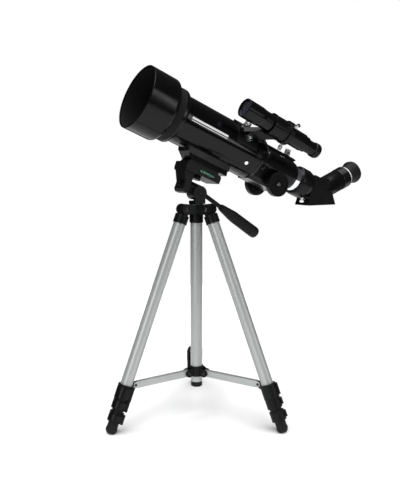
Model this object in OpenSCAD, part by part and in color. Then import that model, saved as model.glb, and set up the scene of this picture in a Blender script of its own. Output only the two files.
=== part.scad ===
// Travel refractor telescope with finder, diagonal and eyepiece on a folding photo tripod.
// The tube points to -X and upwards; the tripod stands on the plane z = 0.

/* [Optical tube] */
// Radius of the dew shield
shield_r = 44; // [42.5:0.5:45]
// Length of the dew shield's straight part
shield_len = 38; // [36:1:39]
// Outer radius of the main tube
tube_r = 33.2; // [33:0.1:33.4]
// Wall of the main tube
tube_wall = 1; // [0.8:0.1:1.5]
// Where the main tube ends, measured from the front rim
tube_end = 186; // [184:1:188]
// Clear radius of the objective lens
lens_r = 35; // [34.5:0.1:35]
// Tilt of the tube above the horizon, degrees
aim = 22.56; // [20:0.1:25]

/* [Focuser] */
// Outer radius of the chrome drawtube
draw_r = 19; // [18.5:0.1:19.2]
// Radius of the focus knobs
knob_r = 18; // [15:0.5:19]
// Distance from the tube's middle plane to a focus knob's face
knob_face = 30.4; // [29:0.2:33]
// Teeth on the focus pinion
pinion_teeth = 12; // [12:1:12]
// Pitch radius of the focus pinion
pinion_r = 4.5; // [4.4:0.05:4.6]

/* [Diagonal and eyepiece] */
// Radius of the 1.25 inch barrels
barrel_r = 15.875; // [15.8:0.005:15.9]
// Radius of the eyecup at its widest
cup_r = 18; // [17:0.5:19]

/* [Finder] */
// Angle of the finder around the tube, from the top towards -Y
finder_side = 52; // [40:1:60]
// Distance of the finder's axis from the tube's axis
finder_up = 64.1; // [60:0.5:70]
// Slope of the finder against the tube, degrees
finder_toe = 1.35; // [0:0.05:2]

/* [Head] */
// Height of the tilt pivot above the ground
tilt_z = 322; // [320:0.5:324]
// Slope of the pan handle below the tube's own direction, degrees
handle_drop = 11; // [9:0.5:13]
// Length of the pan handle from the tilt body
handle_len = 116; // [100:1:125]

/* [Tripod] */
// Distance from the tripod's axis to the middle of a foot on the ground
foot_reach = 136.2; // [134:0.2:138]
// Height of the leg hinges
hinge_z = 300; // [299:0.5:301]
// Distance of the leg hinges from the tripod's axis
hinge_reach = 19.5; // [19:0.5:20]
// Outer radius of the centre column and of the upper leg tubes
pole_r = 8.4; // [8:0.1:8.6]
// Height of the lower end of the centre column
column_low = 43; // [40:1:46]

/* [Hidden] */
$fn = 64;

gap = 0.3;                                  // free space between parts of different bodies
fit = 0.06;                                 // running clearance of shafts and sliding tubes

// Where the tube's axis crosses the tripod's axis.
cross_s = 97.43;
cross_z = 411.6;

// Diagonal: the two optical axes meet here, and the eyepiece leaves half a right angle higher.
diag_s = 337.2;
out_slope = 45 - aim;
cup_end = 86;
cup_end_r = 13;
rear_reach = cos(aim) * (diag_s - cross_s) + cup_end * cos(out_slope) + cup_end_r * sin(out_slope);

// Legs.
leg_tilt = atan((foot_reach - hinge_reach) / hinge_z);
leg_len = hinge_z / cos(leg_tilt);
leg_azimuth = [180, -60, 60];
foot_r = 8;
foot_ball_z = 6.5;
front_reach = foot_reach - foot_ball_z * tan(leg_tilt) + foot_r;

// The origin lies on the ground below the middle of the whole outline.
tripod_x = (front_reach - rear_reach) / 2;

// Distances along a leg, down from its hinge.
socket_top = 8.5;
socket_end = 20.6;
clamp_1 = 252.6;
clamp_2 = 273.1;
clamp_3 = 290.8;
foot_top = 304.6;
section_wall = 0.7;
section_r = [pole_r, pole_r - 1.2, pole_r - 2.4, pole_r - 3.6];
clamp_r = [11, 10.6, 10.2];
lever_angle = 115;
clamp_end = [clamp_2 - gap, 286.5, 304.2];  // lower ends of the three collars
lever_out = 2.5;                            // from a collar's surface to its lever's pin
lever_barrel = 2.2;                         // radius of a lever's hinge and of its lugs
lug = 2.2;
bracket_r = 98;
bracket_z = 62;

// Spreader.
hub_z = 64;
arm_pivot = 14.5;
arm_len = norm([bracket_r - arm_pivot, bracket_z - hub_z]);
arm_dip = atan((hub_z - bracket_z) / (bracket_r - arm_pivot));
arm_short = 21;
arm_high = 12;
arm_wide = 6;

// Head, measured in the tube's own frame.
pivot_u = -2;
tilt_s = cross_s + cos(aim) * pivot_u - sin(aim) * (tilt_z - cross_z);
tilt_v = sin(aim) * pivot_u + cos(aim) * (tilt_z - cross_z);
flip_v = tilt_v + 4.5;
platform_top = -50;
platform_low = -61;
pad_top = -45.7;
screw_s = 122;
handle_s = 139.5;
grip_from = 40;

// Focuser.
pinion_s = 239.7;
pinion_v = -draw_r - 2.4 - pinion_r;
tooth_pitch = 2 * PI * pinion_r / pinion_teeth;

// Screws: place along the tube and angle from the top towards -Y.
screw_pos = 175.5;
screw_angles = [4, 124, 244];
lock_pos = 258;
screw_1_pos = 306;
screw_1_angle = 160;

// Finder.
ring_s = 200;
nut_pos = 161.5;
nut_angles = [finder_side - 20, finder_side + 20];
adjust_pos = 7.7;
adjust_angles = [15, 135, 255];

function arc(c, r, a, b, n) = [for (i = [0:n]) c + r * [cos(a + (b - a) * i / n), sin(a + (b - a)
    * i / n)]];

// The tube's own frame: x runs from the front rim to the rear along the axis, z is up.
module tube_frame() {
    translate([tripod_x, 0, cross_z]) rotate([0, aim, 0]) translate([-cross_s, 0, 0]) children();
}

// Solid of revolution about the tube's axis from points [along, radius].
module turned(points) {
    rotate([0, 90, 0]) rotate_extrude($fn = 96) polygon([for (p = points) [p[1], p[0]]]);
}

// Flat plate in the tube's middle plane from points [along, up], centred on y.
module plate(points, wide) {
    rotate([90, 0, 0]) linear_extrude(wide, center = true) polygon(points);
}

// Rod square to the tube's axis at a distance along it and an angle from the top towards -Y.
module radial(s, angle, from, to, r) {
    translate([s, 0, 0]) rotate([angle, 0, 0]) translate([0, 0, from]) cylinder(h = to - from, r = r);
}

// Knurled head: a disc with grip notches around it.
module knurled(r, h, notches, depth) {
    difference() {
        cylinder(h = h, r = r);
        for (i = [0:notches - 1]) rotate([0, 0, i * 360 / notches])
            translate([r + depth * 0.4, 0, -1]) cylinder(h = h + 2, r = depth, $fn = 16);
    }
}

module leg_frame(i) {
    translate([tripod_x, 0, 0]) rotate([0, 0, leg_azimuth[i - 1]])
        translate([hinge_reach, 0, hinge_z]) rotate([0, -leg_tilt, 0]) children();
}

// Tube along a leg between two distances below its hinge.
module leg_pipe(from, to, outer, inner) {
    translate([0, 0, -to]) difference() {
        cylinder(h = to - from, r = outer);
        translate([0, 0, -1]) cylinder(h = to - from + 2, r = inner);
    }
}

// ---- Tripod ----

module shoulder() {
    color("#202022") translate([tripod_x, 0, 0]) difference() {
        union() {
            translate([0, 0, 293]) cylinder(h = 13, r = 12);
            translate([0, 0, 281]) cylinder(h = 13, r = 9.6);
            for (azimuth = leg_azimuth, side = [-1, 1]) rotate([0, 0, azimuth])
                translate([0, side * 8.05, 0]) rotate([90, 0, 0]) linear_extrude(3.5, center = true) {
                    translate([hinge_reach, hinge_z]) circle(r = 7.6);
                    polygon([[6, 294], [hinge_reach - 3, 293], [hinge_reach, hinge_z + 7.6], [6, 306]]);
                }
        }
        cylinder(h = 400, r = pole_r + fit);
        for (azimuth = leg_azimuth) rotate([0, 0, azimuth]) translate([hinge_reach, 0, hinge_z])
            rotate([90, 0, 0]) cylinder(h = 40, r = 2.5 + fit, center = true);
        rotate([0, 0, 120]) translate([0, 0, 299.5]) rotate([0, 90, 0]) cylinder(h = 30, r = 2.6);
    }
}

module column_lock_knob() {
    color("#1a1a1b") translate([tripod_x, 0, 299.5]) rotate([0, 0, 120]) rotate([0, 90, 0]) {
        translate([0, 0, pole_r + gap]) cylinder(h = 8, r = 2.4);
        translate([0, 0, 16]) knurled(6, 9, 10, 0.9);
    }
}

module center_column() {
    color("#c9ccce") translate([tripod_x, 0, 0]) difference() {
        translate([0, 0, column_low + 7]) cylinder(h = 306.6 - column_low - 7, r = pole_r);
        translate([0, 0, column_low]) cylinder(h = 240, r = pole_r - 1);
    }
    color("#1a1a1b") translate([tripod_x, 0, column_low]) {
        cylinder(h = 7, r = pole_r);
        cylinder(h = 16, r = pole_r - 1.01);
    }
}

module spreader_hub() {
    color("#202022") translate([tripod_x, 0, 0]) difference() {
        union() {
            translate([0, 0, 58.7]) cylinder(h = 14.9, r = 9.75);
            for (azimuth = leg_azimuth, side = [-1, 1]) rotate([0, 0, azimuth])
                translate([0, side * 4.7, 0]) rotate([90, 0, 0]) linear_extrude(2.4, center = true) {
                    translate([arm_pivot, hub_z]) circle(r = 5.4);
                    polygon([[8.6, 59.4], [arm_pivot, 59.4], [arm_pivot, 68.8], [8.6, 72.6]]);
                }
        }
        cylinder(h = 200, r = pole_r + fit);
        for (azimuth = leg_azimuth) rotate([0, 0, azimuth]) translate([arm_pivot, 0, hub_z])
            rotate([90, 0, 0]) cylinder(h = 20, r = 1.5 + fit, center = true);
    }
}

module brace(i) {
    color("#c9ccce") translate([tripod_x, 0, 0]) rotate([0, 0, leg_azimuth[i - 1]])
        translate([arm_pivot, 0, hub_z]) rotate([0, arm_dip, 0]) {
            rotate([90, 0, 0]) cylinder(h = 11.6, r = 1.5, center = true);
            difference() {
                rotate([90, 0, 0]) linear_extrude(arm_wide, center = true)
                    polygon([[-3.9, 1.4], [-3.8, -1.9], [0, -4.2], [8, -4.4], [13, -arm_high / 2],
                        [arm_len - arm_short, -arm_high / 2], [arm_len - arm_short, arm_high / 2],
                        [8, arm_high / 2], [0, 4.3]]);
                translate([10, -arm_wide / 2 + 1, -arm_high]) cube([arm_len, arm_wide - 2, arm_high + 4]);
            }
        }
}

module leg_tube(i) {
    color("#c9ccce") leg_frame(i) leg_pipe(socket_top + 2, clamp_1 + 10, section_r[0],
        section_r[0] - section_wall);
}

// Clamp collar around a leg tube, open for the next section, with the lugs of its lever.
module clamp_collar(from, to, r, hold_r, hold_to, pass_r) {
    difference() {
        union() {
            translate([0, 0, -to]) cylinder(h = to - from, r = r);
            rotate([0, 0, lever_angle]) for (z = [-from - lug - 0.1, -to + 0.1]) {
                translate([r - 1.5, -lever_barrel, z]) cube([lever_out + 1.5, 2 * lever_barrel, lug]);
                translate([r + lever_out, 0, z]) cylinder(h = lug, r = lever_barrel);
            }
        }
        translate([0, 0, -hold_to]) cylinder(h = 400, r = hold_r);
        translate([0, 0, -400]) cylinder(h = 500, r = pass_r);
        rotate([0, 0, lever_angle]) translate([r + lever_out, 0, -400])
            cylinder(h = 500, r = 1 + fit, $fn = 24);
    }
}

module leg_fittings(i) {
    color("#202022") {
        leg_frame(i) {
            rotate([90, 0, 0]) cylinder(h = 19.4, r = 2.5, center = true);
            rotate([90, 0, 0]) cylinder(h = 12, r = 6.8, center = true);
            difference() {
                union() {
                    translate([0, 0, -socket_end]) cylinder(h = socket_end - socket_top, r = 9.8);
                    translate([-5.5, -6, -socket_top - 1]) cube([11, 12, socket_top]);
                }
                translate([0, 0, -60]) cylinder(h = 60 - socket_top - 2, r = section_r[0] + 0.01);
            }
        }
        leg_frame(i) clamp_collar(clamp_1, clamp_end[0], clamp_r[0], section_r[0] + 0.01, clamp_1 + 10.01,
            section_r[1] + gap);
        bracket_fin(i);
    }
}

// Fin on the upper collar that carries the outer end of a spreader arm.
module bracket_fin(i) {
    difference() {
        translate([tripod_x, 0, 0]) rotate([0, 0, leg_azimuth[i - 1]]) rotate([90, 0, 0])
            linear_extrude(3.2, center = true)
                polygon([[bracket_r - 3.5, bracket_z + 4], [bracket_r + 8, bracket_z + 5.5],
                    [bracket_r + 12, bracket_z - 12], [bracket_r - 1, bracket_z - 4]]);
        leg_frame(i) translate([0, 0, -clamp_2]) cylinder(h = 60, r = clamp_r[0] - 1);
        translate([tripod_x, 0, 0]) rotate([0, 0, leg_azimuth[i - 1]]) translate([bracket_r, 0,
            bracket_z])
            rotate([90, 0, 0]) cylinder(h = 20, r = 1.5, center = true);
    }
}

module leg_section_2(i) {
    color("#c9ccce") leg_frame(i) leg_pipe(38, clamp_2 + 9, section_r[1], section_r[1] - section_wall);
    color("#202022") leg_frame(i) clamp_collar(clamp_2, clamp_end[1], clamp_r[1],
        section_r[1] + 0.01, clamp_2 + 9.01,
        section_r[2] + gap);
}

module leg_section_3(i) {
    color("#c9ccce") leg_frame(i) leg_pipe(48, clamp_3 + 9, section_r[2], section_r[2] - section_wall);
    color("#202022") leg_frame(i) clamp_collar(clamp_3, clamp_end[2], clamp_r[2],
        section_r[2] + 0.01, clamp_3 + 9.01,
        section_r[3] + gap);
    color("#202022") leg_frame(i) leg_pipe(286.9, clamp_3, 8.2, section_r[2] + 0.01);
}

module leg_section_4(i) {
    color("#c9ccce") leg_frame(i) leg_pipe(58, foot_top + 4, section_r[3], section_r[3] - section_wall);
    color("#161617") difference() {
        leg_frame(i) {
            translate([0, 0, -leg_len + foot_ball_z / cos(leg_tilt)]) sphere(r = foot_r);
            translate([0, 0, -leg_len + foot_ball_z / cos(leg_tilt)])
                cylinder(h = leg_len - foot_top - foot_ball_z / cos(leg_tilt), r = 7.5);
        }
        leg_frame(i) translate([0, 0, -foot_top - 4.01]) cylinder(h = 20, r = section_r[3] + 0.01);
        translate([-500, -500, -100]) cube([1000, 1000, 100]);
    }
}

// Flip lever of a clamp: it wraps the collar and turns on a pin parallel to the leg.
module clamp_lever(i, from, to, r) {
    low = to - 2.5;
    high = from + 2.5;
    sweep = 105;
    color("#2a2a2c") leg_frame(i) {
        rotate([0, 0, lever_angle]) translate([r + lever_out, 0, -to + 0.1])
            cylinder(h = to - from - 0.2, r = 1, $fn = 24);
        translate([0, 0, -low]) rotate([0, 0, lever_angle - sweep])
            rotate_extrude(angle = sweep, $fn = 96) translate([r + gap, 0]) square([2.2, low - high]);
        rotate([0, 0, lever_angle]) translate([r + lever_out, 0, -low - 0.05])
            cylinder(h = low - high + 0.1, r = lever_barrel);
    }
}

module leg_lever(i, k) {
    if (k == 1) clamp_lever(i, clamp_1, clamp_end[0], clamp_r[0]);
    if (k == 2) clamp_lever(i, clamp_2, clamp_end[1], clamp_r[1]);
    if (k == 3) clamp_lever(i, clamp_3, clamp_end[2], clamp_r[2]);
}

// ---- Head ----

// Pan base: it turns on the column and carries the tilt pivot on one upright cheek.
module pan_base() {
    cheek_in = 9.2;
    cheek_wide = 5.4;
    color("#222224") translate([tripod_x, 0, 0]) difference() {
        union() {
            translate([0, 0, 306.9]) knurled(10, 4.6, 24, 0.5);
            translate([pivot_u, -cheek_in, tilt_z]) rotate([90, 0, 0]) cylinder(h = cheek_wide, r = 10.5);
            translate([pivot_u - 8, -cheek_in - cheek_wide, 307.5]) cube([16, cheek_wide,
                tilt_z - 307.5]);
            translate([pivot_u - 8, -cheek_in - 1, 307.5]) cube([16, 14, 4]);
        }
        translate([pivot_u, 0, tilt_z]) rotate([90, 0, 0]) cylinder(h = 60, r = 4 + fit, center = true);
    }
}

// Tilt body: a barrel along the tube on a stub shaft through the cheek.
module tilt_body() {
    color("#1d1d1f") tube_frame() difference() {
        union() {
            translate([112.5, 0, flip_v]) rotate([0, 90, 0]) cylinder(h = handle_s - 112.5, r = 8.6);
            translate([tilt_s, 0, tilt_v]) rotate([90, 0, 0]) cylinder(h = 17.4, r = 9, center = true);
            translate([tilt_s, 0, tilt_v]) rotate([90, 0, 0]) cylinder(h = 15.4, r = 4);
            translate([100, 0, flip_v]) rotate([0, 90, 0]) cylinder(h = 14, r = 4);
        }
        handle_line() translate([0, 0, -12 - gap]) cylinder(h = 30, r = 3.2 + fit);
    }
}

// The platform with its front arm, which flips to the side around the tilt body's barrel.
module camera_platform() {
    color("#262628") tube_frame() difference() {
        union() {
            plate([[94, platform_top], [94, -58], [96, -64], [103, flip_v + 2], [103, flip_v - 8],
                [106, flip_v - 11.5], [112, flip_v - 11.5], [112, -64], [114, platform_low],
                [152, platform_low], [152, -52], [150, platform_top]], 34);
            plate([[99, pad_top], [97, platform_top - 1], [148, platform_top - 1], [148, pad_top]], 26);
        }
        for (side = [-1, 1]) translate([94, side * 20, -64]) rotate([45, 0, 0]) cube([140, 8, 8],
            center = true);
        for (side = [-1, 1]) translate([90, side * 27 - 14, -120]) cube([26, 28, 57.5]);
        translate([99.9, 0, flip_v]) rotate([0, 90, 0]) cylinder(h = 30, r = 4 + fit);
        translate([screw_s, 0, -70]) cylinder(h = 40, r = 3.3);
        translate([116, -19, -57.6]) cube([26, 7, 5.2]);
    }
}

module bubble_level() {
    color("#3f8f6a") tube_frame() translate([116.6, -14.6, -55]) rotate([0, 90, 0])
        cylinder(h = 24.8, r = 2.5);
}

module camera_screw() {
    color("#1a1a1b") tube_frame() translate([screw_s, 0, 0]) {
        translate([0, 0, -66]) knurled(7.6, 66 + platform_low - gap, 20, 0.6);
        translate([0, 0, -62]) cylinder(h = 62 + pad_top + 5, r = 3.1);
    }
}

// Frame of the pan handle: z runs out along it from the barrel's end.
module handle_line() {
    translate([handle_s - 2, 0, flip_v]) rotate([0, 90 + handle_drop, 0]) children();
}

module handle_rod() {
    color("#2b2b2d") tube_frame() handle_line() translate([0, 0, -12]) cylinder(h = grip_from + 22,
        r = 3.2);
}

// Ribbed grip, thicker towards its rounded end.
module handle_grip() {
    color("#1a1a1b") tube_frame() handle_line() difference() {
        rotate_extrude() polygon([[3.21, grip_from], [4.6, grip_from], [5.4, grip_from + 4],
            [8.2, grip_from + 26], [8.6, handle_len - 12],
            [8.6, handle_len - 5], [7.9, handle_len - 2], [5.5, handle_len], [0, handle_len],
            [0, grip_from + 10.1], [3.21, grip_from + 10.1]]);
        for (i = [0:11]) rotate([0, 0, i * 30]) translate([9.3, 0, grip_from + 28])
            cylinder(h = handle_len - grip_from - 42, r = 1.6, $fn = 24);
    }
}

// ---- Optical tube ----

module dew_shield() {
    color("#141415") tube_frame() turned(concat([[0.6, shield_r - 1.6], [0, shield_r - 1], [0.6,
        shield_r],
        [shield_len, shield_r]], [for (p = arc([shield_len, shield_r - 6], 6, 90, 12, 6)) p],
        [[shield_len + 6.4, 38.06], [shield_len + 1.5, 38.06], [shield_len + 1.5, shield_r - 2.2],
            [4, shield_r - 1.8]]));
}

module lens_cell() {
    color("#161617") tube_frame() turned(concat([[40.5, lens_r - 1], [40.5, 38], [55, 38]],
        [for (p = arc([55, 34], 4, 80, 0, 5)) [p[0] + 3, p[1]]], [[63, 34.2], [63, tube_r + 0.01],
        [54, tube_r + 0.01], [54, 31.5], [52.5, 31.5], [52.5, lens_r + 0.01], [44.5, lens_r + 0.01],
        [44.5, lens_r - 1]]));
}

// Cemented pair: a strongly curved front and a nearly flat back.
module objective_lens() {
    sag = 3;
    front_curve = (lens_r * lens_r + sag * sag) / (2 * sag);
    half = asin(lens_r / front_curve);
    color([0.55, 0.7, 0.85, 0.5]) tube_frame() turned(concat(
        [for (p = arc([44.8 + front_curve, 0], front_curve, 180, 180 - half, 12)) p],
        [[52.2, lens_r], [52.2, 30], [53, 0]]));
}

module main_tube() {
    color("#0d0d0e") tube_frame() difference() {
        turned([[54.1, tube_r - tube_wall], [54.1, tube_r], [tube_end, tube_r], [tube_end,
            tube_r - tube_wall]]);
        for (angle = screw_angles) radial(screw_pos, angle, 20, 50, 1.5);
        for (angle = nut_angles) radial(nut_pos, angle, 20, 50, 2);
        for (s = [107, 143]) radial(s, 180, 20, 50, 1.6);
    }
}

// Saddle under the tube with the threaded socket for the head's camera screw.
module mount_shoe() {
    color("#19191a") tube_frame() difference() {
        plate([[88, -27], [90, -37], [101, pad_top + 0.1], [161, pad_top + 0.1], [161, -27]], 30);
        rotate([0, 90, 0]) cylinder(h = 400, r = tube_r + 0.01, $fn = 96);
        translate([screw_s, 0, -60]) cylinder(h = 20, r = 3.15);
        for (side = [-1, 1]) translate([70, side * 22.5 - 7.5, -50]) rotate([side * 12, 0, 0])
            cube([100, 15, 14]);
    }
}

// Rear housing: a spigot in the tube, a band, a cone and the focuser body with its pinion box.
module rear_housing() {
    bore = draw_r + fit;
    color("#121213") tube_frame() difference() {
        union() {
            turned([[169, 28], [169, tube_r - tube_wall - 0.01], [tube_end + 0.01,
                tube_r - tube_wall - 0.01],
                [tube_end + 0.01, tube_r + 0.2], [194.6, tube_r + 0.2], [195, tube_r - 0.3], [195.6,
                    tube_r - 0.3],
                [196, tube_r], [200, tube_r - 0.6], [213, 25], [218, 23.6], [268, 23], [272, 22],
                    [275.5, 20.4],
                [275.5, 15], [200, 15]]);
            translate([196.5, 0, 0]) rotate([90, 0, 90]) linear_extrude(55)
                polygon([[-20, -12], [20, -12], [17, -27], [12.5, -33.5], [-12.5, -33.5], [-17, -27]]);
            translate([205, -10, 10]) cube([62, 20, 12.9]);
        }
        turned([[160, 0], [160, 29.5], [192, 29.5], [212, 20.5], [218, bore], [280, bore], [280, 0]]);
        translate([pinion_s, 0, pinion_v]) rotate([90, 0, 0]) cylinder(h = 11, r = 5.8, center = true);
        translate([pinion_s, 0, pinion_v]) rotate([90, 0, 0]) cylinder(h = 60, r = 2.5 + fit,
            center = true);
        translate([170, -3.6, -22.4]) cube([120, 7.2, 10]);
        for (angle = screw_angles) radial(screw_pos, angle, 20, 50, 1.5);
        radial(lock_pos, 0, 15, 40, 1.7);
    }
}

module housing_screws() {
    color("#c4c6c8") tube_frame() for (angle = screw_angles) {
        radial(screw_pos, angle, 30, tube_r + 0.1, 1.49);
        difference() {
            radial(screw_pos, angle, tube_r, tube_r + 1.7, 2.7);
            rotate([0, 90, 0]) cylinder(h = 400, r = tube_r + 0.01, $fn = 96);
            translate([screw_pos, 0, 0]) rotate([angle, 0, 0]) translate([0, 0, tube_r + 1.7])
                cube([8, 0.8, 1.2], center = true);
        }
    }
}

module focuser_top_plate() {
    color("#1c1c1e") tube_frame() difference() {
        plate([[205, 22.9], [205, 24.4], [208, 26], [268, 26], [271, 25], [271, 23.4], [267, 22.9]], 17);
        turned([[200, 0], [200, 32.61], [213, 25.01], [218, 23.61], [268, 23.01], [273, 22.01], [273,
            0]]);
        radial(lock_pos, 0, 15, 40, 1.7);
    }
}

module focus_lock_knob() {
    color("#c4c6c8") tube_frame() translate([lock_pos, 0, 0]) {
        translate([0, 0, draw_r + gap]) cylinder(h = 12, r = 1.5);
        translate([0, 0, 28.5]) knurled(4.6, 8.5, 14, 0.5);
    }
}

// Trapezoid tooth, its root at the given height and its tip at the other.
function tooth(x, root, tip, wide_root, wide_tip) =
    [[x - wide_root / 2, root], [x - wide_tip / 2, tip], [x + wide_tip / 2, tip], [x + wide_root / 2,
        root]];

module drawtube() {
    pitch_v = pinion_v + pinion_r;
    color("#d2d4d6") tube_frame() {
        difference() {
            union() {
                turned([[190, draw_r - 2], [190, draw_r], [300, draw_r], [300, draw_r - 2]]);
                plate(concat([[194, -17.6], [194, pitch_v + 0.9]],
                    [for (k = [-19:12], p = tooth(pinion_s + (k + 0.5) * tooth_pitch, pitch_v + 0.9,
                        pitch_v - 0.6,
                        1.45, 0.55)) p], [[272, pitch_v + 0.9], [272, -17.6]]), 6);
            }
            radial(screw_1_pos, screw_1_angle, 10, 40, 2);
        }
    }
}

module drawtube_collar() {
    color("#161617") tube_frame() difference() {
        turned([[286, draw_r + 0.01], [286, 21], [287.5, 22.4], [291, 22.9], [304, 22.9], [309,
            21.6], [311, 20.4],
            [311, barrel_r + fit], [300.1, barrel_r + fit], [300.1, draw_r + 0.01]]);
        radial(screw_1_pos, screw_1_angle, 10, 40, 1.7);
    }
}

module pinion_shaft() {
    color("#c4c6c8") tube_frame() translate([pinion_s, 0, pinion_v]) {
        rotate([90, 0, 0]) cylinder(h = 2 * knob_face + 1.6, r = 2.5, center = true);
        rotate([90, 0, 0]) linear_extrude(7, center = true) {
            circle(r = pinion_r - 0.9);
            for (i = [0:pinion_teeth - 1]) rotate(90 + i * 360 / pinion_teeth)
                polygon([[2, -0.75], [pinion_r - 0.9, -0.72], [pinion_r + 0.6, -0.27],
                    [pinion_r + 0.6, 0.27],
                    [pinion_r - 0.9, 0.72], [2, 0.75]]);
        }
    }
}

module focus_knobs() {
    inner = 22.7;
    color("#171718") tube_frame() for (side = [-1, 1]) translate([pinion_s, side * inner, pinion_v])
        rotate([-side * 90, 0, 0]) difference() {
            knurled(knob_r, knob_face - inner, 48, 0.45);
            cylinder(h = 40, r = 2.5 + 0.01);
            translate([0, 0, knob_face - inner - 1]) difference() {
                cylinder(h = 3, r = knob_r - 2.6);
                cylinder(h = 3, r = 5);
            }
        }
}

// ---- Diagonal and eyepiece ----
// The eyepiece and the finder are each closed by their lenses.

module thumbscrew(s, angle, from, head, r) {
    translate([s, 0, 0]) rotate([angle, 0, 0]) {
        translate([0, 0, from]) cylinder(h = head - from + 0.5, r = 1.5);
        translate([0, 0, head]) knurled(r, 5.5, 12, 0.45);
    }
}

module diagonal_screw() {
    color("#c4c6c8") tube_frame() thumbscrew(screw_1_pos, screw_1_angle, barrel_r + gap, 24.5, 3.4);
}

// Level frame at the crossing of the two optical axes.
module diag_frame() {
    tube_frame() translate([diag_s, 0, 0]) rotate([0, -aim, 0]) children();
}

// Frame of the eyepiece: z runs out along its axis.
module out_frame() {
    diag_frame() rotate([0, 90 - out_slope, 0]) children();
}

module diagonal_body() {
    color("#1b1b1d") difference() {
        union() {
            diag_frame() plate([[-33, -20.5], [33, -20.5], [33, -18.5], [27, -8.5], [25.6, -7.2],
                [12.6, 23.4],
                [6, 20.2], [-3, 20.6], [-17.1, 26.4], [-31.1, -7.4], [-29.2, -10.5], [-33, -18.5]], 37);
            tube_frame() translate([288, 0, 0]) rotate([0, 90, 0]) cylinder(h = 26, r = barrel_r);
            out_frame() translate([0, 0, 18]) cylinder(h = 28, r = 17.2);
        }
        tube_frame() translate([280, 0, 0]) rotate([0, 90, 0]) cylinder(h = diag_s - 280 + 4, r = 13.4);
        out_frame() translate([0, 0, -4]) cylinder(h = 60, r = 12);
        out_frame() translate([0, 0, 22]) cylinder(h = 40, r = barrel_r + fit);
    }
}

module eyepiece() {
    color("#1a1a1c") out_frame() rotate_extrude($fn = 96) polygon([[14.4, 24], [barrel_r, 24],
        [barrel_r, 46.2],
        [17, 46.2], [17.2, 47.5], [17.2, 60], [16.4, 61.4], [13.7, 61.4], [13.7, 69.5], [9, 69.5],
            [9, 66],
        [0, 66], [0, 58], [12.5, 56], [14.4, 50]]);
}

module eyecup() {
    color("#232325") out_frame() rotate_extrude($fn = 96) polygon([[13.71, 64.2], [14.5, 64.2],
        [15.9, 71.5],
        [cup_r, 77], [cup_r, 80], [16.6, 83.8], [cup_end_r + 0.6, cup_end - 0.4], [cup_end_r, cup_end],
        [12.2, cup_end - 0.6], [12.6, 83], [11.6, 76], [11, 69.6], [13.71, 69.6]]);
}

// ---- Finder ----

// Frame of the finder: x along the finder, origin in the middle of its holder.
module finder_frame(toe) {
    tube_frame() rotate([finder_side, 0, 0]) translate([ring_s, 0, finder_up]) rotate([0, toe, 0])
        children();
}

module finder_bracket() {
    color("#161617") tube_frame() difference() {
        union() {
            rotate([finder_side, 0, 0]) {
                rotate([0, 90, 0]) rotate([0, 0, 180 - 38]) translate([0, 0, 145]) difference() {
                    rotate_extrude(angle = 76, $fn = 96) translate([tube_r + 0.02, 0]) square([2.6, 36]);
                }
                plate([[152, tube_r + 1.4], [181, tube_r + 1.4], [198, 47], [210, 50], [178, 52],
                    [160, 40]], 9);
            }
            finder_frame_local() turned([[-24, 13.7], [-24, 15.4], [-20, 15.4], [-19.4, 14.9], [3.6,
                14.9],
                [4.2, 17], [11.2, 17], [12, 16.2], [12, 13.7]]);
            for (angle = nut_angles) radial(nut_pos, angle, tube_r + 1, tube_r + 3.4, 6);
        }
        finder_frame_local() rotate([0, 90, 0]) cylinder(h = 120, r = 13.7, center = true);
        for (angle = nut_angles) radial(nut_pos, angle, 20, 60, 2.05);
        finder_frame_local() for (angle = adjust_angles) radial(adjust_pos, angle, 10, 30, 1.45);
    }
}

module finder_frame_local() {
    rotate([finder_side, 0, 0]) translate([ring_s, 0, finder_up]) children();
}

module finder_nuts() {
    color("#c4c6c8") tube_frame() for (angle = nut_angles) {
        radial(nut_pos, angle, tube_r - 2.4, tube_r + 10.4, 1.95);
        translate([nut_pos, 0, 0]) rotate([angle, 0, 0]) translate([0, 0, tube_r + 3.45])
            knurled(5.2, 5.4, 16, 0.5);
    }
}

module finder_adjusters() {
    color("#c4c6c8") tube_frame() finder_frame_local() for (angle = adjust_angles) {
        radial(adjust_pos, angle, 12.9, 20, 1.4);
        translate([adjust_pos, 0, 0]) rotate([angle, 0, 0]) translate([0, 0, 19]) knurled(2.9, 6.4,
            12, 0.35);
    }
}

module finder_tube() {
    color("#171718") finder_frame(finder_toe) turned([[-71.7, 11.9], [-71.7, 13], [-71.2, 13.3],
        [-45, 13.3],
        [-39, 12.4], [39.5, 12.4], [40, 11.2], [46.5, 11.2], [46.5, 8.4], [20, 8.4], [20, 10.6],
        [-60, 11.9], [-62, 11.9], [-62, 0], [-66, 0], [-66, 11.9]]);
}

module finder_eyepiece() {
    color("#1f1f21") finder_frame(finder_toe) turned([[24, 5], [24, 8.3], [47.5, 8.3], [47.5, 9.5],
        [62, 9.5],
        [63, 10.8], [69, 11], [71.5, 10], [72.6, 8], [72.6, 5.5], [66, 5],
        [66, 0], [62, 0], [62, 5]]);
}

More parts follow.
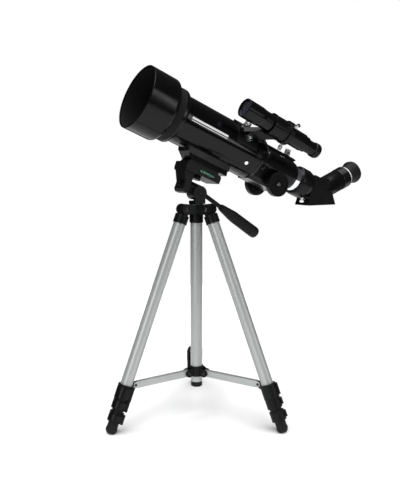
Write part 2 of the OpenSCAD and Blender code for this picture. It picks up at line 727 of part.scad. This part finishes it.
shoulder();
column_lock_knob();
center_column();
spreader_hub();
brace(1);  // brace_1
brace(2);  // brace_2
brace(3);  // brace_3
leg_tube(1);  // leg_1_tube
leg_fittings(1);  // leg_1_fittings
leg_section_2(1);  // leg_1_section_2
leg_section_3(1);  // leg_1_section_3
leg_section_4(1);  // leg_1_section_4
leg_lever(1, 1);  // leg_1_lever_1
leg_lever(1, 2);  // leg_1_lever_2
leg_lever(1, 3);  // leg_1_lever_3
leg_tube(2);  // leg_2_tube
leg_fittings(2);  // leg_2_fittings
leg_section_2(2);  // leg_2_section_2
leg_section_3(2);  // leg_2_section_3
leg_section_4(2);  // leg_2_section_4
leg_lever(2, 1);  // leg_2_lever_1
leg_lever(2, 2);  // leg_2_lever_2
leg_lever(2, 3);  // leg_2_lever_3
leg_tube(3);  // leg_3_tube
leg_fittings(3);  // leg_3_fittings
leg_section_2(3);  // leg_3_section_2
leg_section_3(3);  // leg_3_section_3
leg_section_4(3);  // leg_3_section_4
leg_lever(3, 1);  // leg_3_lever_1
leg_lever(3, 2);  // leg_3_lever_2
leg_lever(3, 3);  // leg_3_lever_3
pan_base();
tilt_body();
camera_platform();
bubble_level();
camera_screw();
handle_rod();
handle_grip();
dew_shield();
lens_cell();
objective_lens();
main_tube();
mount_shoe();
rear_housing();
housing_screws();
focuser_top_plate();
focus_lock_knob();
drawtube();
drawtube_collar();
pinion_shaft();
focus_knobs();
diagonal_screw();
diagonal_body();
eyepiece();
eyecup();
finder_bracket();
finder_nuts();
finder_adjusters();
finder_tube();
finder_eyepiece();
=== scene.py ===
import math

import bmesh
import bpy
from mathutils import Matrix, Vector


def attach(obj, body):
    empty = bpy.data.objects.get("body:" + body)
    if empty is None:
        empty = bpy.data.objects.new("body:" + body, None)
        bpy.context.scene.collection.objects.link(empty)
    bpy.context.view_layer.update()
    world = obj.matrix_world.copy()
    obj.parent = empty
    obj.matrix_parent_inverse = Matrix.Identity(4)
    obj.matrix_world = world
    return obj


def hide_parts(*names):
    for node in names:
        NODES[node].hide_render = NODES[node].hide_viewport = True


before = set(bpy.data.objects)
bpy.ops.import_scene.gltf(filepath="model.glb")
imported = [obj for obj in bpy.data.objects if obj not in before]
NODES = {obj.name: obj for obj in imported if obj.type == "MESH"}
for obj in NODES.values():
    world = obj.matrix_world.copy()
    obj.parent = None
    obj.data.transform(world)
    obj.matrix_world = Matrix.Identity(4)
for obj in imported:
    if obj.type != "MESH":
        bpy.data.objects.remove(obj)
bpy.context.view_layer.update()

rad = math.radians

# ---- Frames, in metres, as the CAD model has them ----

AIM = 22.56
CROSS_S, CROSS_Z = 0.09743, 0.4116
TRIPOD_X = -0.0821006
LEG_AZIMUTH = (180, -60, 60)
TUBE_R = 0.0332
TUBE_IN, CELL_IN, SHIELD_IN = 0.0326, 0.036, 0.0423  # faces nearer the axis than this are inside
CELL_FRONT_TO = 0.0535                  # how far back the lens cell's inside can be seen, along the tube
LEG_REACH = 0.1362                      # a leg's axis from the column's, where it meets the floor
DIAGONAL_S = 0.3372                     # where the light path bends, along the tube
HINGE_R, HINGE_Z = 0.0195, 0.3          # a leg's hinge pin
ARM_ROOT_R, ARM_ROOT_Z = 0.0145, 0.064  # a spreader arm's pin on the hub
ARM_RUN, ARM_DROP = 0.0835, 0.002       # from that pin to the one on the leg
COLUMN_R, COLUMN_BORE = 0.0084, 0.0074
LEG_TILT = math.degrees(math.atan((LEG_REACH - HINGE_R) / HINGE_Z))


def turn(degrees, axis):
    return Matrix.Rotation(rad(degrees), 4, axis)


def move(x, y, z):
    return Matrix.Translation((x, y, z))


TRIPOD = move(TRIPOD_X, 0, 0)
TUBE = move(TRIPOD_X, 0, CROSS_Z) @ turn(AIM, "Y") @ move(-CROSS_S, 0, 0)
DIAGONAL = TUBE @ move(DIAGONAL_S, 0, 0) @ turn(-AIM, "Y")
OUT = DIAGONAL @ turn(90 - (45 - AIM), "Y")
FINDER = TUBE @ turn(52, "X") @ move(0.2, 0, 0.0641) @ turn(1.35, "Y")


def leg_frame(i):
    return TRIPOD @ turn(LEG_AZIMUTH[i - 1], "Z") @ move(HINGE_R, 0, HINGE_Z) @ turn(-LEG_TILT, "Y")


# ---- Materials ----

def node(tree, kind, **inputs):
    made = tree.nodes.new(kind)
    for name, value in inputs.items():
        made.inputs[name.replace("_", " ")].default_value = value
    return made


def material(name, colour, rough, metal=0.0, vary=0.25, spread=0.06, grain=900.0, patch=45.0,
             bump=0.02, depth=0.0002, edge=0.0003, along=None, stretch=1.0, **sockets):
    """A procedural finish: patches of colour and roughness, a fine grain in the bump, softened edges.
    along is a frame whose z the grain follows, stretch how much longer it is that way."""
    m = bpy.data.materials.new(name)
    m.use_nodes = True
    tree = m.node_tree
    link = tree.links.new
    shader = tree.nodes["Principled BSDF"]
    shader.inputs["Metallic"].default_value = metal
    for socket, value in sockets.items():
        shader.inputs[socket.replace("_", " ")].default_value = value
    place = tree.nodes.new("ShaderNodeTexCoord").outputs["Object"]
    if along is not None:
        turned = tree.nodes.new("ShaderNodeMapping")
        turned.inputs["Rotation"].default_value = along.to_3x3().inverted().to_euler()
        link(place, turned.inputs["Vector"])
        scaled = tree.nodes.new("ShaderNodeMapping")
        scaled.inputs["Scale"].default_value = (1, 1, 1 / stretch)
        link(turned.outputs["Vector"], scaled.inputs["Vector"])
        place = scaled.outputs["Vector"]
    patches = node(tree, "ShaderNodeTexNoise", Scale=patch, Detail=5.0, Roughness=0.6)
    fine = node(tree, "ShaderNodeTexNoise", Scale=grain, Detail=3.0, Roughness=0.55)
    link(place, patches.inputs["Vector"])
    link(place, fine.inputs["Vector"])
    ramp = tree.nodes.new("ShaderNodeValToRGB")
    ramp.color_ramp.elements[0].position = 0.32
    ramp.color_ramp.elements[1].position = 0.68
    ramp.color_ramp.elements[0].color = [c * (1 - vary) for c in colour] + [1]
    ramp.color_ramp.elements[1].color = [min(1, c * (1 + vary)) for c in colour] + [1]
    link(patches.outputs["Fac"], ramp.inputs["Fac"])
    link(ramp.outputs["Color"], shader.inputs["Base Color"])
    mixed = node(tree, "ShaderNodeMath")
    mixed.operation = "ADD"
    link(patches.outputs["Fac"], mixed.inputs[0])
    link(fine.outputs["Fac"], mixed.inputs[1])
    gloss = node(tree, "ShaderNodeMapRange", From_Min=0.6, From_Max=1.4,
                 To_Min=max(0.01, rough - spread), To_Max=min(1, rough + spread))
    link(mixed.outputs["Value"], gloss.inputs["Value"])
    link(gloss.outputs["Result"], shader.inputs["Roughness"])
    relief = node(tree, "ShaderNodeBump", Strength=bump, Distance=depth)
    link(fine.outputs["Fac"], relief.inputs["Height"])
    if edge:
        soft = node(tree, "ShaderNodeBevel", Radius=edge)
        soft.samples = 4
        link(soft.outputs["Normal"], relief.inputs["Normal"])
    link(relief.outputs["Normal"], shader.inputs["Normal"])
    return m


def glass(name, colour, rough, coat=0.35, tint=(0.8, 0.75, 1, 1)):
    m = material(name, colour, rough, vary=0.04, spread=0.01, bump=0.0, edge=0, Transmission_Weight=0.92,
                 IOR=1.5, Coat_Weight=coat, Coat_Roughness=0.02)
    m.node_tree.nodes["Principled BSDF"].inputs["Coat Tint"].default_value = tint
    return m


gloss_paint = material(
    "gloss_paint", (0.0022, 0.0022, 0.0026), 0.1, vary=0.15, spread=0.03, grain=420, bump=0.03,
    depth=5e-05, edge=0.0002, Specular_IOR_Level=0.2)
shield_black = material(
    "shield_black", (0.0024, 0.0024, 0.0028), 0.2, vary=0.2, spread=0.05, grain=1400, bump=0.05,
    edge=0.0006, Specular_IOR_Level=0.2)
inner_black = material(
    "inner_black", (0.003, 0.003, 0.0032), 0.78, vary=0.2, spread=0.08, grain=2600, bump=0.35,
    edge=0, Specular_IOR_Level=0.25)
case_black = material(
    "case_black", (0.003, 0.003, 0.0034), 0.26, vary=0.22, spread=0.07, grain=1700, bump=0.1,
    edge=0.0005, Specular_IOR_Level=0.16)
head_black = material(
    "head_black", (0.0042, 0.0044, 0.0046), 0.36, vary=0.3, spread=0.08, grain=2000, bump=0.22,
    edge=0.0006, Specular_IOR_Level=0.14)
rubber = material(
    "rubber", (0.007, 0.007, 0.0074), 0.5, vary=0.25, spread=0.1, grain=2300, bump=0.3, edge=0.0007,
    Specular_IOR_Level=0.14)
chrome = material(
    "chrome_metal", (0.78, 0.79, 0.81), 0.13, metal=1, vary=0.04, spread=0.05, grain=1500,
    bump=0.03, edge=0.0002)
steel = material(
    "rivet_black", (0.045, 0.045, 0.048), 0.3, metal=1, vary=0.2, spread=0.08, grain=1500,
    bump=0.08, edge=0.0002)
white_ring = material(
    "white_ring", (0.78, 0.78, 0.76), 0.35, vary=0.05, spread=0.06, grain=1500, bump=0.06)
white_print = material(
    "white_print", (0.72, 0.72, 0.72), 0.5, vary=0.04, spread=0.05, grain=3000, bump=0.08, edge=0)
lens_glass = glass("coated_glass", (0.25, 0.28, 0.36), 0.02, coat=0.08)
vial_green = glass("level_vial", (0.22, 0.72, 0.48), 0.06, coat=0.3, tint=(1, 1, 1, 1))
print_black = material("print_black", (0.01, 0.01, 0.01), 0.5, grain=2000)


def satin(name, along):
    """Satin anodised aluminium, its fine drawing lines along the given frame's z."""
    return material(name, (0.41, 0.425, 0.42), 0.42, metal=0.55, vary=0.06, spread=0.08, grain=2400, patch=260,
                    bump=0.10, depth=0.00012, along=along, stretch=40, edge=0.0003)


column_satin = satin("satin_column", Matrix.Identity(4))
leg_satin = [satin(f"satin_leg_{i}", leg_frame(i)) for i in (1, 2, 3)]


def paint(name, *materials, pick=None):
    """Gives a CAD node its materials; pick says from a face's centre and normal which one it takes."""
    mesh = NODES[name].data
    mesh.materials.clear()
    for m in materials:
        mesh.materials.append(m)
    for face in mesh.polygons:
        face.material_index = pick(face.center, face.normal) if pick else 0


def tube_point(p):
    return TUBE.inverted() @ p


def inward(place, normal, reach):
    """True where a face of the tube's own round parts looks at the axis and lies within reach of it."""
    p = tube_point(place)
    n = TUBE.to_3x3().inverted() @ normal
    out = Vector((0, p.y, p.z))
    return out.length < reach and n.dot(out) < 0


for name in ("shoulder", "spreader_hub", "pan_base", "tilt_body", "camera_platform", "column_lock_knob",
             "camera_screw", "handle_rod"):
    paint(name, head_black)
paint("handle_grip", rubber)
for i in (1, 2, 3):
    paint(f"leg_{i}_tube", leg_satin[i - 1])
    paint(f"leg_{i}_fittings", head_black)
    to_leg = leg_frame(i).inverted()
    for k, wide in ((2, 0.00741), (3, 0.00621), (4, 0.00501)):
        def is_tube(c, n, wide=wide, to_leg=to_leg):
            p = to_leg @ c
            return 0 if math.hypot(p.x, p.y) < wide else 1
        paint(f"leg_{i}_section_{k}", leg_satin[i - 1], rubber if k == 4 else head_black, pick=is_tube)
    for k in (1, 2, 3):
        paint(f"leg_{i}_lever_{k}", case_black)
paint("bubble_level", vial_green)
paint("main_tube", gloss_paint, inner_black, pick=lambda c, n: int(inward(c, n, TUBE_IN)))
paint("dew_shield", shield_black, inner_black, pick=lambda c, n: int(inward(c, n, SHIELD_IN)))
paint("lens_cell", shield_black, inner_black,
      pick=lambda c, n: int(tube_point(c).x < CELL_FRONT_TO or inward(c, n, CELL_IN)))
paint("objective_lens", lens_glass)
paint("mount_shoe", case_black)
paint("rear_housing", shield_black)
paint("focuser_top_plate", head_black)
for name in ("housing_screws", "focus_lock_knob", "drawtube", "pinion_shaft", "diagonal_screw", "finder_nuts",
             "finder_adjusters"):
    paint(name, chrome)
for name in ("drawtube_collar", "focus_knobs", "diagonal_body", "eyepiece", "finder_bracket",
             "finder_eyepiece"):
    paint(name, case_black)
paint("eyecup", rubber)
paint("finder_tube", shield_black)

# ---- Pieces ----


def piece(name, bm, mat, body, frame_to=None, sharp=35):
    mesh = bpy.data.meshes.new(name)
    bmesh.ops.remove_doubles(bm, verts=bm.verts, dist=1e-7)
    bmesh.ops.recalc_face_normals(bm, faces=bm.faces)
    for face in bm.faces:
        face.smooth = True
    for edge in bm.edges:
        if len(edge.link_faces) == 2 and edge.calc_face_angle(0) > rad(sharp):
            edge.smooth = False
    bm.to_mesh(mesh)
    bm.free()
    if frame_to is not None:
        mesh.transform(frame_to)
    mesh.materials.append(mat)
    made = bpy.data.objects.new(name, mesh)
    bpy.context.scene.collection.objects.link(made)
    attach(made, body)
    return made


def lathe(name, profile, mat, body, frame_to, steps=96, closed=True, sharp=35):
    """Turned piece: profile is [(along z, radius)], turned about the frame's z."""
    bm = bmesh.new()
    rings = []
    for along, r in profile:
        if r < 1e-9:
            rings.append([bm.verts.new((0, 0, along))])
        else:
            rings.append([bm.verts.new((r * math.cos(a), r * math.sin(a), along))
                          for a in (2 * math.pi * k / steps for k in range(steps))])
    pairs = list(zip(rings, rings[1:])) + ([(rings[-1], rings[0])] if closed else [])
    for a, b in pairs:
        for k in range(steps):
            j = (k + 1) % steps
            corners = []
            for v in (a[k % len(a)], a[j % len(a)], b[j % len(b)], b[k % len(b)]):
                if v not in corners:
                    corners.append(v)
            if len(corners) > 2:
                bm.faces.new(corners)
    return piece(name, bm, mat, body, frame_to, sharp)


def dome(r, h, base=0.0, n=8):
    """Profile of a domed rivet head standing on base."""
    return [(base, 0), (base, r)] + [(base + h * math.sin(rad(90 * k / n)), r * math.cos(rad(90 * k / n)))
                                     for k in range(1, n)] + [(base + h, 0)]


ALONG_X = turn(90, "Y")

# Spreader arms: full-length pressed channels from the hub to the brackets on the legs.
ARM_LEN = math.hypot(ARM_RUN, ARM_DROP)
ARM_DIP = math.degrees(math.atan2(ARM_DROP, ARM_RUN))


def channel_arm(i):
    bm = bmesh.new()
    low, high, wide, wall = -0.0047, 0.0047, 0.003, 0.0009
    outline = [(-0.0038, 0.0015), (-0.0036, -0.0024), (-0.001, -0.0042), (0.004, low),
               (ARM_LEN - 0.003, low), (ARM_LEN + 0.002, -0.0036), (ARM_LEN + 0.0038, 0),
               (ARM_LEN + 0.002, 0.0036), (ARM_LEN - 0.003, high), (0.004, high), (-0.001, 0.0038)]
    for side in (-1, 1):
        sheets = []
        for y in (side * wide, side * (wide - wall)):
            sheets.append([bm.verts.new((x, y, z)) for x, z in outline])
        bm.faces.new(sheets[0])
        bm.faces.new(sheets[1])
        n = len(outline)
        for k in range(n):
            bm.faces.new((sheets[0][k], sheets[0][(k + 1) % n], sheets[1][(k + 1) % n], sheets[1][k]))
    x0, x1 = 0.0125, ARM_LEN - 0.0125
    corners = [bm.verts.new((x, y, z)) for x in (x0, x1) for y in (-wide, wide) for z in (high - wall, high)]
    for f in ((0, 1, 3, 2), (4, 6, 7, 5), (0, 4, 5, 1), (2, 3, 7, 6), (1, 5, 7, 3), (0, 2, 6, 4)):
        bm.faces.new([corners[k] for k in f])
    at = TRIPOD @ turn(LEG_AZIMUTH[i - 1], "Z") @ move(ARM_ROOT_R, 0, ARM_ROOT_Z) @ turn(ARM_DIP, "Y")
    arm = piece(f"spreader_arm_{i}", bm, arm_satin[i - 1], f"brace_{i}", at)
    soften = arm.modifiers.new("rounded", "BEVEL")
    soften.width = 0.0003
    soften.segments = 2
    soften.limit_method = "ANGLE"
    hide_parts(f"brace_{i}")
    for side in (-1, 1):
        facing = turn(-90 * side, "X")
        lathe(f"hub_rivet_{i}_{'near' if side > 0 else 'far'}", dome(0.0022, 0.0011), steel, "spreader",
              TRIPOD @ turn(LEG_AZIMUTH[i - 1], "Z") @ move(ARM_ROOT_R, side * 0.0059, ARM_ROOT_Z) @ facing,
              32, False)
        lathe(f"arm_rivet_{i}_{'near' if side > 0 else 'far'}", dome(0.002, 0.0010), steel, f"brace_{i}",
              at @ move(ARM_LEN, side * 0.003, 0) @ facing, 32, False)


arm_satin = [satin(f"satin_arm_{i}", turn(LEG_AZIMUTH[i - 1], "Z") @ ALONG_X) for i in (1, 2, 3)]
for i in (1, 2, 3):
    channel_arm(i)

# Centre column: a satin tube with a black cap on its lower end.
lathe("column_tube", [(0.0502, COLUMN_BORE), (0.0502, 0.0081), (0.0505, COLUMN_R), (0.3066, COLUMN_R),
                      (0.3066, COLUMN_BORE)], column_satin, "column", TRIPOD)
column_cap = lathe("column_cap", [(0.0430, 0), (0.0430, 0.0076), (0.0438, COLUMN_R), (0.0500, COLUMN_R),
                                  (0.0500, COLUMN_BORE), (0.0590, 0.0073), (0.0590, 0)],
                   case_black, "column", TRIPOD, closed=False)
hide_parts("center_column")

# Hinge pins of the legs, with domed heads on the shoulder's lugs.
for i in (1, 2, 3):
    for side in (-1, 1):
        lathe(f"leg_pin_{i}_{'near' if side > 0 else 'far'}", dome(0.0031, 0.0012), steel, "tripod_hub",
              TRIPOD @ turn(LEG_AZIMUTH[i - 1], "Z") @ move(HINGE_R, side * 0.0098, HINGE_Z)
              @ turn(-90 * side, "X"), 40, False)


def slab(name, outline, half, mat, body, frame_to, soften):
    """Flat piece: an outline in x and z, half thick on each side of it, with its edges rounded."""
    bm = bmesh.new()
    sheets = [[bm.verts.new((x, y, z)) for x, z in outline] for y in (-half, half)]
    for sheet in sheets:
        bm.faces.new(sheet)
    for k in range(len(outline)):
        j = (k + 1) % len(outline)
        bm.faces.new((sheets[0][k], sheets[0][j], sheets[1][j], sheets[1][k]))
    made = piece(name, bm, mat, body, frame_to)
    rounded = made.modifiers.new("rounded", "BEVEL")
    rounded.width = soften
    rounded.segments = 3
    rounded.limit_method = "ANGLE"
    return made


# Mirror case of the diagonal: a flat-sided cast body with its nose and its eyepiece barrel.
mirror_case = slab(
    "mirror_case", [(-0.0305, -0.0205), (0.0245, -0.0205), (0.0245, -0.0187), (0.0205, -0.0085),
    (0.0095, 0.0225), (0.006, 0.0202), (-0.003, 0.0206), (-0.0171, 0.0264), (-0.0285, -0.0066),
    (-0.0275, -0.0105), (-0.0305, -0.0187)], 0.0165, head_black, "diagonal", DIAGONAL, 0.0007)
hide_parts("diagonal_body")
lathe(
    "diagonal_nose", [(-0.049, 0.0134), (-0.049, 0.0153), (-0.0484, 0.01587), (-0.0232, 0.01587),
    (-0.0232, 0.0134)], case_black, "diagonal", TUBE @ move(DIAGONAL_S, 0, 0) @ ALONG_X)
lathe(
    "diagonal_barrel", [(0.0055, 0.0159), (0.0055, 0.0168), (0.0453, 0.0168), (0.0459, 0.0164),
    (0.0459, 0.0159)], case_black, "diagonal", OUT)

# Pale retaining ring and lenses of the eyepiece.
lathe(
    "eyepiece_ring", [(0.0608, 0.01372), (0.0608, 0.0148), (0.0611, 0.0151), (0.0641, 0.0151),
    (0.0644, 0.0148), (0.0644, 0.01372)], white_ring, "eyepiece", OUT)
lathe(
    "eye_lens", [(0.0668, 0), (0.0668, 0.0088), (0.0672, 0.0088), (0.0678, 0.006), (0.0681, 0)],
    lens_glass, "eyepiece", OUT, closed=False)
lathe(
    "finder_front_lens", [(-0.0695, 0), (-0.0692, 0.006), (-0.0684, 0.01175), (-0.067, 0.01175),
    (-0.067, 0)], lens_glass, "telescope", FINDER @ ALONG_X, closed=False)
lathe(
    "finder_eye_lens", [(0.0684, 0), (0.0684, 0.0049), (0.0688, 0.0049), (0.0693, 0)], lens_glass,
    "finder_focus", FINDER @ ALONG_X, closed=False)

# The vial's two rings.
VIAL = TUBE @ move(0.129, -0.0146, -0.055) @ ALONG_X
for k, at in enumerate((-0.0045, 0.0045)):
    lathe(f"vial_ring_{k + 1}", [(at - 0.00025, 0.00251), (at - 0.00025, 0.00262), (at + 0.00025, 0.00262),
                                 (at + 0.00025, 0.00251)], print_black, "telescope", VIAL, 40)

# Plain pinstripes printed along the tube, standing for its white print.


def stripe(name, s0, s1, angle, wide):
    bm = bmesh.new()
    r = TUBE_R + 0.00006
    half = wide / r / 2
    rows = []
    for k in range(5):
        a = rad(angle) - half + 2 * half * k / 4
        rows.append([bm.verts.new((s, -r * math.sin(a), r * math.cos(a))) for s in (s0, s1)])
    for a, b in zip(rows, rows[1:]):
        bm.faces.new((a[0], a[1], b[1], b[0]))
    return piece(name, bm, white_print, "telescope", TUBE)


stripe("pinstripe_wide", 0.07, 0.131, 89, 0.0028)
stripe("pinstripe_narrow", 0.07, 0.131, 95, 0.0009)

# ---- Floor, lights and camera ----


def stage_floor():
    bm = bmesh.new()
    bmesh.ops.create_circle(bm, cap_ends=True, radius=0.95, segments=128)
    mesh = bpy.data.meshes.new("floor")
    bm.to_mesh(mesh)
    bm.free()
    floor = bpy.data.objects.new("floor", mesh)
    bpy.context.scene.collection.objects.link(floor)
    m = material("floor_paper", (0.88, 0.88, 0.88), 0.85, vary=0.006, spread=0.03, grain=60, patch=2,
                 bump=0.02, edge=0, Specular_IOR_Level=0.15)
    mesh.materials.append(m)


def lamp(name, at, aim_at, size, power, colour=(1, 1, 1)):
    light = bpy.data.lights.new(name, "AREA")
    light.shape = "RECTANGLE"
    light.size, light.size_y = size
    light.energy = power
    light.color = colour
    made = bpy.data.objects.new(name, light)
    made.location = at
    made.rotation_euler = (Vector(aim_at) - Vector(at)).to_track_quat("-Z", "Y").to_euler()
    bpy.context.scene.collection.objects.link(made)


stage_floor()
sky = bpy.data.lights.new("sky_box", "SUN")
sky.energy = 4.5
sky.angle = rad(75)
high = bpy.data.objects.new("sky_box", sky)
high.rotation_euler = Vector((0.12, 0.2, -0.95)).to_track_quat("-Z", "Y").to_euler()
bpy.context.scene.collection.objects.link(high)
lamp("front_box", (-1.9, -1.1, 0.7), (-0.05, 0, 0.2), (0.45, 1.3), 11)
lamp("side_box", (0.9, -1.8, 0.6), (0, 0, 0.2), (0.3, 1.2), 5)

world = bpy.data.worlds.new("studio")
world.use_nodes = True
bpy.context.scene.world = world
tree = world.node_tree
dim = tree.nodes["Background"]
dim.inputs["Color"].default_value = (0.07, 0.07, 0.072, 1)
backdrop = tree.nodes.new("ShaderNodeBackground")
backdrop.inputs["Color"].default_value = (1, 1, 1, 1)
rays = tree.nodes.new("ShaderNodeLightPath")
choose = tree.nodes.new("ShaderNodeMixShader")
tree.links.new(rays.outputs["Is Camera Ray"], choose.inputs["Fac"])
tree.links.new(dim.outputs["Background"], choose.inputs[1])
tree.links.new(backdrop.outputs["Background"], choose.inputs[2])
tree.links.new(choose.outputs["Shader"], tree.nodes["World Output"].inputs["Surface"])
bpy.context.scene.view_settings.view_transform = "Standard"

camera = bpy.data.cameras.new("camera")
camera.lens = 44.32
camera.sensor_width = 36
camera.clip_end = 50
eye = bpy.data.objects.new("camera", camera)
eye.location = (-0.5214, -0.7433, 0.3582)
level = math.cos(rad(7.683))
gaze = Vector((0.514 * level, 0.858 * level, -math.sin(rad(7.683))))
eye.rotation_mode = "QUATERNION"
eye.rotation_quaternion = gaze.to_track_quat("-Z", "Y")
bpy.context.scene.collection.objects.link(eye)
bpy.context.scene.camera = eye
